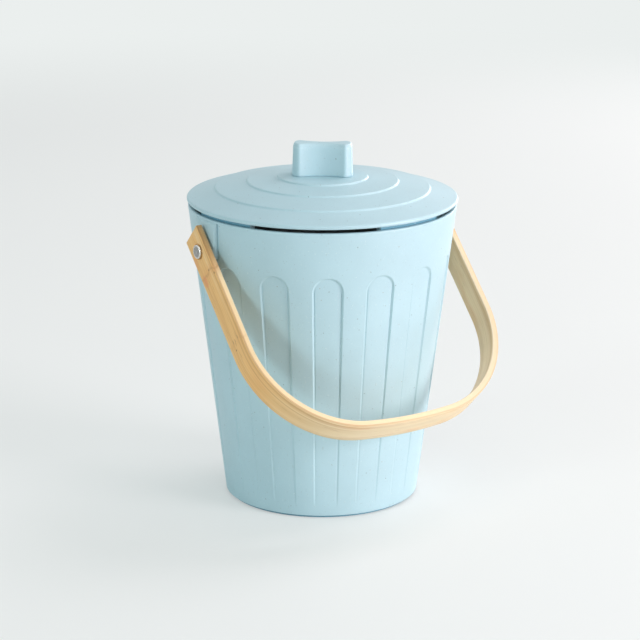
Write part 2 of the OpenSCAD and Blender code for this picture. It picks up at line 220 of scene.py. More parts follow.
def ring_faces(rings):
    """Faces between rings of a revolve. A ring of one point is a pole."""
    faces = []
    for a, b in zip(rings, rings[1:]):
        n = max(len(a), len(b))
        for j in range(n):
            k = (j + 1) % n
            if len(a) == 1:
                faces.append((a[0], b[k], b[j]))
            elif len(b) == 1:
                faces.append((a[j], a[k], b[0]))
            else:
                faces.append((a[j], a[k], b[k], b[j]))
    return faces


def lathe(profile, angles, radius=None):
    """Verts and faces of a closed revolve. A point on the axis becomes a pole.

    angles are in radians. radius(row, r, z) may give a radius for each angle.
    """
    verts, rings = [], []
    for i, (r, z) in enumerate(profile):
        if r < 1e-6:
            rings.append([len(verts)])
            verts.append((0, 0, z))
            continue
        rings.append(list(range(len(verts), len(verts) + len(angles))))
        rr = np.full(len(angles), r) if radius is None else radius(i, r, z)
        verts += list(zip(rr * np.sin(angles), -rr * np.cos(angles), np.full(len(angles), z)))
    return verts, ring_faces(rings)


def even_turn(cols):
    """Even angles of one turn, in radians."""
    return np.arange(cols) * 2 * math.pi / cols


def turned(verts, m):
    return [tuple(m @ Vector(v)) for v in verts]


def rod(name, r, x0, x1, n, axis="X", at=(0, 0, 0)):
    """A plain cylinder along X or Z, used as a cutter or a core."""
    angles = [2 * math.pi * i / n for i in range(n)]
    verts = []
    for x in (x0, x1):
        for a, b in [(r * math.cos(t), r * math.sin(t)) for t in angles]:
            spot = (x, a, b) if axis == "X" else (a, b, x)
            verts.append(tuple(p + q for p, q in zip(spot, at)))
    return make(name, verts, grid_faces(2, n) + end_faces(2, n))


# ---------------------------------------------------------------- materials
MIX_FACTOR, MIX_A, MIX_B, MIX_OUT = 0, 6, 7, 2          # sockets of a mix of two colours


class Mat:
    """A node material with short calls for its nodes. A source is a (node, output) pair."""

    def __init__(self, name):
        self.mat = bpy.data.materials.new(name)
        self.mat.use_nodes = True
        self.tree = self.mat.node_tree
        self.tree.nodes.clear()
        self.out = self.node("ShaderNodeOutputMaterial")
        self.bsdf = self.node("ShaderNodeBsdfPrincipled")
        self.feed((self.bsdf, "BSDF"), self.out.inputs["Surface"])

    def node(self, kind, **values):
        n = self.tree.nodes.new(kind)
        for k, v in values.items():
            setattr(n, k, v)
        return n

    def feed(self, src, socket):
        """Links a source to a socket."""
        self.tree.links.new(src[0].outputs[src[1]], socket)

    def set(self, **values):
        """Sets values that are the same all over the surface."""
        for k, v in values.items():
            self.bsdf.inputs[k.replace("_", " ")].default_value = v

    def coords(self, scale=(1, 1, 1), attribute=None, rotate=(0, 0, 0)):
        """A mapping of the object's own coordinates, or of an attribute."""
        if attribute:
            src = self.node("ShaderNodeAttribute", attribute_name=attribute), "Vector"
        else:
            src = self.node("ShaderNodeTexCoord"), "Object"
        m = self.node("ShaderNodeMapping")
        m.inputs["Scale"].default_value = scale
        m.inputs["Rotation"].default_value = rotate
        self.feed(src, m.inputs["Vector"])
        return m

    def noise(self, vec, scale, detail=3.0, rough=0.5, distortion=0.0):
        n = self.node("ShaderNodeTexNoise")
        for key, v in (("Scale", scale), ("Detail", detail), ("Roughness", rough),
                       ("Distortion", distortion)):
            n.inputs[key].default_value = v
        self.feed((vec, "Vector"), n.inputs["Vector"])
        return n

    def ramp(self, src, stops, mode="LINEAR"):
        """A source through a colour ramp, whose stops hold colours or greys."""
        r = self.node("ShaderNodeValToRGB")
        r.color_ramp.interpolation = mode
        for e, (pos, col) in zip(r.color_ramp.elements, stops):
            e.position = pos
            e.color = (*col, 1) if isinstance(col, tuple) else (col, col, col, 1)
        self.feed(src, r.inputs["Fac"])
        return r, "Color"

    def ranged(self, src, low, high, to_low=0.0, to_high=1.0):
        """A source eased from one range of values to another."""
        r = self.node("ShaderNodeMapRange", interpolation_type="SMOOTHSTEP")
        for key, v in (("From Min", low), ("From Max", high),
                       ("To Min", to_low), ("To Max", to_high)):
            r.inputs[key].default_value = v
        self.feed(src, r.inputs["Value"])
        return r, "Result"

    def mix(self, fac, a, b, mode="MIX"):
        """Mixes two colours. Each is a colour or a source, and fac is a number or a source."""
        m = self.node("ShaderNodeMix", data_type="RGBA", blend_type=mode)
        for v, socket in ((fac, m.inputs[MIX_FACTOR]), (a, m.inputs[MIX_A]),
                          (b, m.inputs[MIX_B])):
            if isinstance(v, tuple) and len(v) == 2:
                self.feed(v, socket)
            else:
                socket.default_value = (*v, 1) if isinstance(v, tuple) else v
        return m, MIX_OUT

    def math(self, op, a, b=0.0):
        m = self.node("ShaderNodeMath", operation=op)
        for v, socket in zip((a, b), m.inputs):
            if isinstance(v, tuple):
                self.feed(v, socket)
            else:
                socket.default_value = v
        return m, 0

    def colour(self, src):
        self.feed(src, self.bsdf.inputs["Base Color"])

    def rough(self, src, low, high):
        m = self.node("ShaderNodeMapRange")
        m.inputs["To Min"].default_value = low
        m.inputs["To Max"].default_value = high
        self.feed(src, m.inputs["Value"])
        self.feed((m, "Result"), self.bsdf.inputs["Roughness"])

    def bump(self, src, strength, distance):
        b = self.node("ShaderNodeBump")
        b.inputs["Strength"].default_value = strength
        b.inputs["Distance"].default_value = distance
        self.feed(src, b.inputs["Height"])
        self.feed((b, "Normal"), self.bsdf.inputs["Normal"])


def srgb(r, g, b):
    """0-255 sRGB to linear."""
    return tuple((c / 255 / 12.92) if c <= 10.3 else ((c / 255 + 0.055) / 1.055) ** 2.4
                 for c in (r, g, b))


# Fibres in the plastic: noise scale, where they start and are full, colour, strength
FIBRES = ((1300.0, 0.68, 0.76, srgb(224, 234, 230), 0.22),
          (950.0, 0.70, 0.78, srgb(140, 160, 156), 0.22))
# Specks in the plastic: cells in a metre, size in a cell, share of the cells, colour, strength
SPECKS = ((170.0, 0.095, 0.34, srgb(74, 96, 98), 0.54),
          (140.0, 0.065, 0.40, srgb(126, 112, 88), 0.52),
          (330.0, 0.120, 0.50, srgb(120, 146, 150), 0.40),
          (260.0, 0.110, 0.40, srgb(226, 238, 236), 0.45))


def plastic(name, base):
    """Moulded bamboo-fibre plastic: soft mottling, faint fibres and sparse specks."""
    m = Mat(name)
    obj = m.coords()
    cloud = m.noise(obj, 26.0, 4.0, 0.6)
    light = tuple(min(1.0, c * 1.03) for c in base)
    dark = tuple(c * 0.97 for c in base)
    body = m.ramp((cloud, "Fac"), [(0.30, dark), (0.70, light)])
    # Faint fibres, some paler and some browner than the body
    for scale, low, high, tint, amount in FIBRES:
        stretch = m.coords((1.0, 1.0, 0.38), rotate=(0.5, 0.3, scale * 0.01))
        mask = m.ramp((m.noise(stretch, scale, 1.0, 0.4), "Fac"), [(low, 0.0), (high, 1.0)])
        body = m.mix(m.math("MULTIPLY", mask, amount), body, tint)
    # Specks: a few of the cells hold one small grain, whose outline wobbles
    wobble = m.noise(obj, 900.0, 1.0)
    shift = m.mix(0.0009, (obj, "Vector"), (wobble, "Color"), "ADD")
    for scale, size, share, tint, amount in SPECKS:
        cells = m.node("ShaderNodeTexVoronoi", feature="F1")
        cells.inputs["Scale"].default_value = scale
        m.feed(shift, cells.inputs["Vector"])
        dot = m.ramp((cells, "Distance"), [(size * 0.5, 1.0), (size, 0.0)])
        few = m.ramp((cells, "Color"), [(share, 1.0), (share + 0.01, 0.0)], "CONSTANT")
        mask = m.math("MULTIPLY", dot, few)
        body = m.mix(m.math("MULTIPLY", mask, amount), body, tint)
    m.colour(body)
    grain = m.noise(obj, 2400.0, 2.0, 0.6)
    m.rough((cloud, "Fac"), 0.40, 0.50)
    m.bump((grain, "Fac"), 0.08, 0.00012)
    m.set(IOR=1.46, Specular_IOR_Level=0.8)
    return m.mat


# Joints of the cane: metres along the strip from the middle of the bow, strength of the line
NODE_AT = ((-0.2139, 0.70), (-0.1565, 0.15))
# Marks on the strip: along, across, half length, half width in metres, strength, colour
KNOTS = ((-0.2112, -0.0062, 0.0060, 0.0034, 0.75, (224, 148, 90)),
         (-0.2155, 0.0035, 0.0010, 0.0009, 0.8, (150, 96, 44)),
         (-0.2101, 0.0093, 0.0012, 0.0010, 0.8, (158, 104, 50)),
         (-0.2290, -0.0085, 0.0080, 0.0030, 0.5, (226, 152, 88)),
         (-0.1522, -0.0032, 0.0011, 0.0008, 0.8, (146, 98, 52)),
         (-0.1586, -0.0031, 0.0021, 0.0005, 0.7, (150, 102, 54)),
         (-0.1583, 0.0001, 0.0016, 0.0005, 0.7, (150, 102, 54)),
         (-0.1591, 0.0048, 0.0018, 0.0005, 0.6, (156, 106, 56)),
         (-0.1560, -0.0005, 0.0024, 0.0004, 0.5, (164, 114, 60)))


def bamboo(name):
    """Steam-bent laminated bamboo. The strip attribute is (along, across, through) in metres."""
    m = Mat(name)
    axis = m.node("ShaderNodeSeparateXYZ")
    m.feed((m.coords(attribute="strip"), "Vector"), axis.inputs["Vector"])
    along, across, through = (axis, "X"), (axis, "Y"), (axis, "Z")

    def streaks(long, wide, detail=3.0, distortion=0.0):
        """Noise drawn out along the strip. long and wide are its scales along and across."""
        vec = m.coords((long, wide, wide), attribute="strip")
        return m.noise(vec, 1.0, detail, 0.55, distortion), "Fac"

    def tint(body, src, low, high, amount, colour, mode="MIX"):
        return m.mix(m.ranged(src, low, high, 0.0, amount), body, colour, mode)

    def centred(src, size):
        """A noise moved to swing evenly about 0."""
        return m.math("MULTIPLY", m.math("SUBTRACT", src, 0.5), size)

    def off(src, at, half):
        """Squared distance from a place, in half sizes."""
        return m.math("POWER", m.math("DIVIDE", m.math("SUBTRACT", src, at), half), 2.0)

    # The cane is paler round the bow and on the inner layer
    bow = m.ranged(m.math("ABSOLUTE", along), 0.040, 0.135, 1.0, 0.0)
    body = m.mix(bow, srgb(237, 189, 118), srgb(228, 208, 169))
    body = m.mix(m.ranged(through, -0.0012, -0.0006, 0.85, 0.0), body, srgb(230, 198, 158))
    soft = streaks(7.0, 130.0, 3.0, 0.2)
    fine = streaks(13.0, 720.0, 3.0)
    body = tint(body, soft, 0.52, 0.30, 0.55, (0.84, 0.76, 0.64), "MULTIPLY")
    body = tint(body, soft, 0.50, 0.72, 0.45, srgb(240, 214, 166))
    body = tint(body, fine, 0.50, 0.34, 0.42, (0.82, 0.72, 0.58), "MULTIPLY")
    body = tint(body, fine, 0.54, 0.70, 0.28, srgb(242, 216, 170))
    # A few long dark lines, and the short dashes of the fibre bundles
    body = tint(body, streaks(4.0, 430.0, 1.0), 0.64, 0.72, 0.34, srgb(172, 124, 70))
    body = tint(body, streaks(85.0, 1500.0, 1.0), 0.68, 0.75, 0.36, srgb(154, 104, 54))
    # A browner run of fibres along the upper side of the outer face
    upper = m.math("ADD", across, centred(streaks(9.0, 0.0, 2.0), 0.004))
    run = m.math("MULTIPLY", m.ranged(upper, 0.0052, 0.0078), m.ranged(upper, 0.0101, 0.0088))
    broken = m.ranged(streaks(11.0, 300.0, 2.0), 0.40, 0.62, 0.0, 0.45)
    body = m.mix(m.math("MULTIPLY", run, broken), body, srgb(186, 136, 76))
    # Warm patches
    body = tint(body, streaks(20.0, 50.0, 2.0), 0.52, 0.76, 0.36, srgb(222, 160, 92))
    # The edges show the inner layers, pale along the arms and the bow, and a line of the outer
    # layer.
    # By the ends the edges are painted brown: painted shade where the lid and the bin keep the
    # light off them.
    edge = m.ranged(m.math("ABSOLUTE", across), 0.01045, 0.01075)
    # Painted shade: the edges turn brown towards the ends of the strip
    shaded_ends = m.ranged(m.math("ABSOLUTE", along), 0.203, 0.226)
    pale = m.mix(m.ranged(along, 0.0, 0.12), srgb(234, 217, 176), srgb(214, 207, 180))
    inner = m.mix(shaded_ends, pale, srgb(196, 150, 94))
    body = m.mix(m.math("MULTIPLY", edge, 0.68), body, inner)
    layer = m.math("MULTIPLY", m.ranged(through, 0.0007, 0.0016),
                   m.ranged(along, -0.06, 0.06, 0.60, 0.25))
    body = m.mix(m.math("MULTIPLY", edge, layer), body, srgb(172, 122, 66))
    # The joints of the cane: a thin wavy line across the strip, warmer wood round it
    bend = centred(streaks(0.0, 190.0, 2.0), 0.010)
    for at, deep in NODE_AT:
        away = m.math("ABSOLUTE", m.math("ADD", m.math("SUBTRACT", along, at), bend))
        body = tint(body, away, 0.0065, 0.0, 0.40 * deep, srgb(220, 152, 88))
        body = tint(body, away, 0.0016, 0.0, 0.55 * deep, srgb(176, 122, 66))
    # Marks by the joints
    for at, side, long, wide, deep, tone in KNOTS:
        away = m.math("ADD", off(along, at, long), off(across, side, wide))
        body = tint(body, away, 1.0, 0.2, deep, srgb(*tone))
    m.colour(body)
    m.rough(soft, 0.36, 0.50)
    m.bump(fine, 0.14, 0.00012)
    m.set(IOR=1.5, Specular_IOR_Level=0.7)
    return m.mat


def metal(name, tint, low, high):
    """Brushed or polished steel, a little duller where it is worn."""
    m = Mat(name)
    vec = m.coords()
    fine = m.noise(vec, 2200.0, 2.0, 0.6)
    worn = m.noise(vec, 420.0, 3.0, 0.5)
    m.colour(m.mix((worn, "Fac"), tuple(c * 0.86 for c in tint), tint))
    m.rough((fine, "Fac"), low, high)
    m.bump((fine, "Fac"), 0.12, 0.00005)
    m.set(Metallic=1.0)
    return m.mat


def nylon(name):
    """Uncoloured nylon that lets a little light in."""
    m = Mat(name)
    n = m.noise(m.coords(), 300.0, 3.0)
    m.colour(m.mix((n, "Fac"), srgb(214, 212, 200), srgb(238, 237, 228)))
    m.rough((n, "Fac"), 0.38, 0.5)
    m.set(Subsurface_Weight=0.12, Subsurface_Scale=0.002)
    return m.mat


def felt(name):
    """Charcoal felt: dark fibres in tufts."""
    m = Mat(name)
    vec = m.coords()
    fibre = m.noise(vec, 900.0, 5.0, 0.7, 0.8)
    tuft = m.noise(vec, 120.0, 3.0, 0.6)
    body = m.ramp((fibre, "Fac"), [(0.35, srgb(26, 27, 29)), (0.62, srgb(58, 60, 63))])
    m.colour(m.mix(m.math("MULTIPLY", (tuft, "Fac"), 0.35), body, srgb(42, 43, 46)))
    m.rough((fibre, "Fac"), 0.86, 0.98)
    m.bump((fibre, "Fac"), 0.8, 0.0006)
    m.set(Sheen_Weight=0.25, Sheen_Roughness=0.6)
    return m.mat


BLUE = plastic("body_blue", srgb(175, 207, 216))
# A deeper blue of the same plastic: painted shade for the gaps under the wall and under the lid
BLUE_PAINTED_SHADE = plastic("body_blue_painted_shade", srgb(96, 150, 171))
BAMBOO = bamboo("bamboo_strip")
STEEL = metal("steel_satin", (0.42, 0.415, 0.40), 0.34, 0.48)
STEEL_ROLL = metal("steel_polished", (0.74, 0.73, 0.70), 0.16, 0.26)
NYLON = nylon("nylon_natural")
FELT = felt("carbon_felt")


def dress(obj, material, slot, body, *nodes):
    """Gives a piece its material, stands it for its nodes and rides it on its body. slot is not
    used.
    """
    obj.data.materials.clear()
    obj.data.materials.append(material)
    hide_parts(*nodes)
    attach(obj, body)


def second_material(obj, material, chosen):
    """Gives another material to the faces that chosen(centre in mm, normal) picks."""
    obj.data.materials.append(material)
    for f in obj.data.polygons:
        if chosen(f.center / MM, f.normal):
            f.material_index = 1


# ---------------------------------------------------------------- bin
def flute_depth(t, z):
    """Depth of the flutes at azimuth t (degrees) and height z, with soft sides."""
    d = (t - 90.0 + PITCH / 2) % PITCH - PITCH / 2
    arch_r = FLUTE_S * wall_out(FLUTE_TOP) / (1 + CONE_K * FLUTE_S)
    arch_z = FLUTE_TOP - arch_r
    r = wall_out(z)
    u = r * np.sin(np.radians(d))
    edge = r * FLUTE_S - np.abs(u) if z <= arch_z else arch_r - np.hypot(u, z - arch_z)
    soft = np.clip((edge + SIDE_HALF) / (2 * SIDE_HALF), 0, 1)
    soft = soft * soft * (3 - 2 * soft)
    run = np.clip((z - FLUTE_FOOT) / (FLUTE_TOP - FLUTE_FOOT), 0, 1)
    foot = np.clip((z - FADE_Z) / FADE_H, 0, 1)
    crease = np.exp(-((edge - CREASE_AT) / CREASE_W) ** 2)
    crease = crease * np.clip((arch_z + CREASE_FADE - z) / CREASE_FADE, 0, 1)
    return (soft + CREASE_DEEP * crease) * (FLUTE_DEPTH_FOOT * foot + FLUTE_DEPTH_MORE * run)


def bin_columns():
    """Azimuths in degrees, close together where a flute's side runs."""
    side = list(FLUTE_HALF + np.array(SIDE_COLUMNS) / COLUMN_R * RADIAN_DEG)
    inner, outer = side[0], side[-1]
    floor = list(np.linspace(-inner, inner, FLOOR_COLUMNS)[1:-1])
    land = list(np.linspace(outer, PITCH - outer, LAND_COLUMNS)[1:-1])
    offsets = [-v for v in reversed(side)] + floor + side + land
    return np.array([90.0 + k * PITCH + o for k in range(FLUTE_N) for o in offsets])


def bin_mesh():
    k = 1 / math.cos(CONE_A)
    lean = math.degrees(CONE_A)
    heel_c = wall_out(FOOT_H + FOOT_ROUND) - FOOT_ROUND * k
    fillet_c = wall_in(FLOOR_T + INNER_R) - INNER_R * k
    lip_out = wall_out(BIN_H - RIM_ROUND) - RIM_ROUND * k
    lip_in = wall_in(BIN_H - RIM_ROUND) + RIM_ROUND * k
    rows = [(r, 0.0) for r in (0.0, 20.0, 45.0, 60.0, FOOT_RING - FOOT_CUT_IN)]
    rows += [(FOOT_RING, FOOT_CUT_UP), (FOOT_RING, FOOT_H)]
    rows += arc(heel_c, FOOT_H + FOOT_ROUND, FOOT_ROUND, -90, -lean, 6)
    fluted = range(len(rows), len(rows) + len(OUTER_Z))
    rows += [(wall_out(z), z) for z in OUTER_Z]
    rows += arc(lip_out, BIN_H - RIM_ROUND, RIM_ROUND, -lean, 90, 5)
    rows += arc(lip_in, BIN_H - RIM_ROUND, RIM_ROUND, 90, 180 - lean, 5)
    rows += [(wall_in(z), z) for z in INNER_Z]
    rows += list(reversed(arc(fillet_c, FLOOR_T + INNER_R, INNER_R, -90, -lean, 7)))
    rows += [(r, FLOOR_T) for r in (52.0, 36.0, 18.0, 0.0)]
    cols = bin_columns()

    def radius(i, r, z):
        rr = np.full(len(cols), r)
        return rr - flute_depth(cols, z) if i in fluted else rr

    return make("bin_shell", *lathe(rows, np.radians(cols), radius))


def pad_outline(side, grow=0.0):
    """Outline of a pivot pad as (y, height over the pivot), and the wall's x at each point."""
    wide = PAD_R + PAD_TOP * math.tan(math.radians(PAD_LEAN)) + grow
    pts = [(wide, PAD_TOP)] + arc(0, 0, PAD_R + grow, 0, -180, 28) + [(-wide, PAD_TOP)]
    pts = np.array([(-y, z) for y, z in pts] if side > 0 else pts)
    return pts, np.sqrt(wall_out(PIVOT_Z + pts[:, 1]) ** 2 - pts[:, 0] ** 2)


def prism(name, side, rings):
    """A closed solid from outlines at growing distance from the axis, each (points, x)."""
    n = len(rings[0][0])
    verts = [(side * x, y, z + PIVOT_Z) for pts, xs in rings for (y, z), x in zip(pts, xs)]
    return make(name, verts, grid_faces(len(rings), n) + end_faces(len(rings), n))


def pad_mesh(side):
    """Flat pad that rises softly out of the wall."""
    pts, wall = pad_outline(side)
    step = np.maximum(PAD_X - wall, 0.05)
    inward = np.array([0.0, PAD_MID]) - pts
    inward /= np.linalg.norm(inward, axis=1)[:, None]
    rings = [(pts, wall - PAD_ROOT)]
    rings += [(pts + inward * inset, wall + step * rise) for inset, rise in PAD_RISE]
    return prism("pad", side, rings)


def groove_mesh(side):
    """Cutter of the fine groove round the pad."""
    pts, wall = pad_outline(side, GROOVE_W)
    pts[[0, -1], 1] -= GROOVE_DROP
    return prism("groove", side, [(pts, wall - GROOVE_D), (pts, wall + GROOVE_OUT)])


def build_bin():
    shell = bin_mesh()
    pivot = (0, 0, PIVOT_Z)
    for side in (-1, 1):
        merge(shell, groove_mesh(side), "DIFFERENCE")
        merge(shell, pad_mesh(side), "UNION")
        boss = rod("boss", BOSS_R, side * BOSS_X, side * BOSS_END, 48, at=pivot)
        merge(shell, bevelled(boss, BOSS_CUT), "UNION")
        bore = rod("bore", BORE_R, side * BORE_FROM, side * BORE_TO, 32, at=pivot)
        merge(shell, bore, "DIFFERENCE")
    tidy(shell)
    dress(shell, BLUE, "body_blue", "bin", "bin")
    # The foot ring and the underside in the gap under the wall take a deeper blue: painted shade,
    # for the dark shadow in that gap
    second_material(shell, BLUE_PAINTED_SHADE, lambda at, normal: at.z < FOOT_H + 0.05
                    and math.hypot(at.x, at.y) > FOOT_RING - 0.5)


# ---------------------------------------------------------------- lid
def lid_profile():
    steps = []
    for r in STEP_R:
        steps += [(r - STEP_W / 2, dome(r) + STEP_H / 2), (r + STEP_W / 2, dome(r) - STEP_H / 2)]
    edge = EDGE_T / 2
    rim = arc(LID_R - edge, LID_Z + edge, edge, 80, -90, 12)
    top = [(SEAT_MID, SEAT_Z), (SEAT_R, SEAT_Z)] + steps + [rim[0]]
    line = soften(top, [0.0, SEAT_CUT] + [STEP_CUT] * len(steps), 4)
    under = LID_R - EDGE_T * 1.5
    cut = LID_BOSS_CUT
    below = [(under, LID_Z)]
    below += [(r, dome(r) - LID_T) for r in np.linspace(under - 2, LID_BOSS_R + 1, 12)]
    below += [(LID_BOSS_R, dome(LID_BOSS_R) - LID_T - 0.5), (LID_BOSS_R, LID_BOSS_Z + cut),
              (LID_BOSS_R - cut, LID_BOSS_Z), (0.0, LID_BOSS_Z)]
    return [(0.0, SEAT_Z)] + line[:-1] + rim + below


def lug_mesh(turn):
    """One lug with its leg and hook, a closed piece of a revolve."""
    rim = BIN_H - RIM_ROUND
    leg_out = wall_in(FOOT_Z) - LEG_GAP
    leg_in = leg_out - LEG_T
    hook = leg_in - HOOK_IN
    up = wall_in(rim) - LEG_GAP
    section = [(hook, FOOT_Z), (leg_out, FOOT_Z), (up, rim), (up, BIN_H),
               (LUG_R, BIN_H), (LUG_R, LID_Z + EDGE_T / 4),
               (leg_in, dome(leg_in) - LID_T / 2), (leg_in, FOOT_Z + HOOK_T),
               (hook, FOOT_Z + HOOK_T)]
    verts = []
    for i in range(LUG_ROWS + 1):
        a = math.radians(turn - LUG_DEG / 2 + LUG_DEG * i / LUG_ROWS)
        verts += [(r * math.sin(a), -r * math.cos(a), z) for r, z in section]
    n = len(section)
    faces = grid_faces(LUG_ROWS + 1, n) + end_faces(LUG_ROWS + 1, n)
    return bevelled(make("lug", verts, faces), LUG_CUT, 40.0)


def build_lid():
    lid = make("lid_shell", *lathe(lid_profile(), even_turn(256)), 50.0)
    for k in range(VENT_N):
        merge(lid, lug_mesh(LID_TURN + 180.0 / VENT_N + k * 360.0 / VENT_N), "UNION")
    merge(lid, rod("bore", BORE_R, LID_BOSS_Z - 3, SEAT_Z + 3, 32, "Z"), "DIFFERENCE")
    tidy(lid, 32.0)
    dress(lid, BLUE, "body_blue", "lid", "lid")
    # The faces of the lugs that stand in the gap between the rim and the lid take the same deeper
    # blue: painted shade, for the dark shadow under the lid's edge
    second_material(lid, BLUE_PAINTED_SHADE, lambda at, normal: math.hypot(at.x, at.y) > LUG_R - 0.3
                    and BIN_H - 0.2 < at.z < LID_Z + 0.1 and abs(normal.z) < 0.7)


# ---------------------------------------------------------------- knob
def knob_plan(count=180):
    """Plan of the knob as one even loop, with its outward normals and a softer set of them."""
    ridge_x, ridge_y = KNOB_L / 2 - KNOB_END, KNOB_W / 2
    turn = math.degrees(math.acos((ridge_x - KNOB_L / 2 + KNOB_ROUND) / KNOB_ROUND))
    cx = KNOB_L / 2 - KNOB_ROUND
    cy = ridge_y - KNOB_ROUND * math.sin(math.radians(turn))
    sag = (KNOB_W - WAIST_W) / 2
    scoop = (ridge_x ** 2 + sag ** 2) / (2 * sag)
    reach = math.degrees(math.asin(ridge_x / scoop))
    quarter = arc(cx, cy, KNOB_ROUND, 0, turn, 24)
    side = quarter + arc(0, WAIST_W / 2 + scoop, scoop, -90 + reach, -90 - reach, 40)[1:-1]
    side += [(-x, y) for x, y in reversed(quarter)]
    loop = np.array(side + [(-x, -y) for x, y in side])
    loop = np.vstack([loop, loop[:1]])
    run = np.concatenate([[0], np.cumsum(np.linalg.norm(np.diff(loop, axis=0), axis=1))])
    even = np.arange(count) * run[-1] / count
    pts = smoothed(np.stack([np.interp(even, run, loop[:, i]) for i in (0, 1)], 1), 4)
    tangent = np.roll(pts, -1, 0) - np.roll(pts, 1, 0)
    normal = np.stack([tangent[:, 1], -tangent[:, 0]], 1)
    normal /= np.linalg.norm(normal, axis=1)[:, None]
    broad = smoothed(normal, 14)
    return pts, normal, broad / np.linalg.norm(broad, axis=1)[:, None]


def smoothed(v, times):
    """Evens out the values round a loop."""
    for _ in range(times):
        v = 0.25 * np.roll(v, 1, 0) + 0.5 * v + 0.25 * np.roll(v, -1, 0)
    return v


def cap_faces(first, n):
    """Closes a loop that mirrors itself across its long axis."""
    half, end = n // 2, first + n
    quads = [(first + i, first + i + 1, end - i - 1, end - i) for i in range(1, half - 1)]
    return quads + [(first, first + 1, end - 1), (first + half - 1, first + half, first + half + 1)]


def build_knob():
    pts, normal, broad = knob_plan()
    lean = math.tan(math.radians(KNOB_LEAN))
    top = KNOB_H - KNOB_CROWN
    levels = list(KNOB_FOOT) + [(z * lean, z) for z in np.linspace(1.5, top, 8)]
    for i in range(1, 11):
        a = math.radians(90.0 * i / 10)
        levels.append((top * lean + KNOB_SHOULDER * (1 - math.cos(a)),
                       top + KNOB_CROWN * math.sin(a)))
    verts, n = [], len(pts)
    for d, z in levels:
        near = min(d, KNOB_SHARP)
        # The ends are rounded less than the long sides
        verts += [(*(p - q * near - w * (d - near) * (0.5 + 0.5 * abs(w[1]))), z)
                  for p, q, w in zip(pts, normal, broad)]
    # The top closes over rings that shrink towards the long axis of the knob
    last = verts[-n:]
    for s in (0.7, 0.4, 0.15):
        verts += [(x * (0.55 + 0.45 * s), y * s, z) for x, y, z in last]
    rows = len(levels) + 3
    faces = grid_faces(rows, n) + cap_faces(0, n) + cap_faces((rows - 1) * n, n)
    m = Matrix.Translation((0, 0, SEAT_Z)) @ Matrix.Rotation(math.radians(LID_TURN), 4, "Z")
    knob = make("knob_block", turned(verts, m), faces, 60.0)
    merge(knob, rod("bore", BORE_R, SEAT_Z - 2, SEAT_Z + 14, 32, "Z"), "DIFFERENCE")
    tidy(knob, 60.0)
    dress(knob, BLUE, "body_blue", "lid", "knob")


# ---------------------------------------------------------------- handle
def strip_line():
    """The middle line of the strip lying flat, from end to end: position, outward normal."""
    half = [((ARM_MID, s), (1.0, 0.0)) for s in ARM_ROWS]
    for i in range(CORNER_ROWS + 1):
        a = -(math.pi / 2 - BOW_A) * i / CORNER_ROWS
        n = (math.cos(a), math.sin(a))
        half.append(((CORNER_X + CORNER_R * n[0], -CORNER_Y + CORNER_R * n[1]), n))
    for i in range(1, BOW_ROWS + 1):
        a = -math.pi / 2 + BOW_A * (1 - i / BOW_ROWS)
        n = (math.cos(a), math.sin(a))
        half.append(((BOW_R * n[0], BOW_R - REACH + BOW_R * n[1]), n))
    far = [((-p[0], p[1]), (-n[0], n[1])) for p, n in reversed(half[:-1])]
    return half + far


def strip_coords(co):
    """(along, across, through) of points of the flat strip, in mm."""
    x, y, w = co[:, 0], co[:, 1], co[:, 2]
    ax = np.abs(x)
    corner_len = (math.pi / 2 - BOW_A) * CORNER_R
    bow_len = BOW_A * BOW_R
    phi = np.arctan2(-(y + CORNER_Y), ax - CORNER_X)
    psi = np.arctan2(ax, -(y - BOW_R + REACH))
    on_arm, on_bow = y > -CORNER_Y, psi < BOW_A
    along = np.where(on_arm, bow_len + corner_len + CORNER_Y + y,
                     np.where(on_bow, psi * BOW_R, bow_len + corner_len - phi * CORNER_R))
    through = np.where(on_arm, ax - ARM_MID,
                       np.where(on_bow, np.hypot(x, y - BOW_R + REACH) - BOW_R,
                                np.hypot(ax - CORNER_X, y + CORNER_Y) - CORNER_R))
    return np.stack([np.sign(x + 1e-9) * along, w, through], 1)


def build_handle():
    line = strip_line()
    hw, ht, r = STRIP_W / 2, STRIP_T / 2, STRIP_EDGE
    section = []
    for cx, cy, a in ((hw - r, ht - r, 0), (-(hw - r), ht - r, 90),
                      (-(hw - r), -(ht - r), 180), (hw - r, -(ht - r), 270)):
        section += arc(cx, cy, r, a, a + 90, 3)
        if a in (0, 180):
            edge = 1 if a == 0 else -1
            section += [(edge * v, edge * ht) for v in (6.5, 3.0, 0.0, -3.0, -6.5)]
    verts, rows, m = [], len(line), len(section)
    for i, ((px, py), (nx, ny)) in enumerate(line):
        end = min(i, rows - 1 - i)
        at_end = end < len(END_SHRINK)
        shrink = END_SHRINK[end] if at_end else 0.0
        for w, t in section:
            w -= math.copysign(min(shrink, abs(w)), w)
            t -= math.copysign(min(shrink, abs(t)), t)
            skew = END_SKEW * (w / hw + 1) / 2 if at_end else 0.0
            verts.append((px + nx * t, py + ny * t + skew, w))
    strip = make("handle_strip", verts, grid_faces(rows, m) + end_faces(rows, m))
    for side in (-1, 1):
        merge(strip, rod("bore", RUN_R, side * RUN_FROM, side * RUN_TO, 40), "DIFFERENCE")
        sink = rod("sink", HEAD_D / 2 + SINK_GAP, side * (ARM_OUT - SINK), side * RUN_TO, 56)
        merge(strip, sink, "DIFFERENCE")
    tidy(strip, 40.0)
    co = np.zeros(len(strip.data.vertices) * 3)
    strip.data.vertices.foreach_get("co", co)
    grain = strip.data.attributes.new("strip", "FLOAT_VECTOR", "POINT")
    place = strip_coords(co.reshape(-1, 3) / MM) * MM
    grain.data.foreach_set("vector", place.astype(np.float32).ravel())
    strip.data.transform(Matrix.Translation((0, 0, PIVOT_Z * MM))
                         @ Matrix.Rotation(math.radians(SWING), 4, "X"))
    dress(strip, BAMBOO, "bamboo", "handle", "handle")


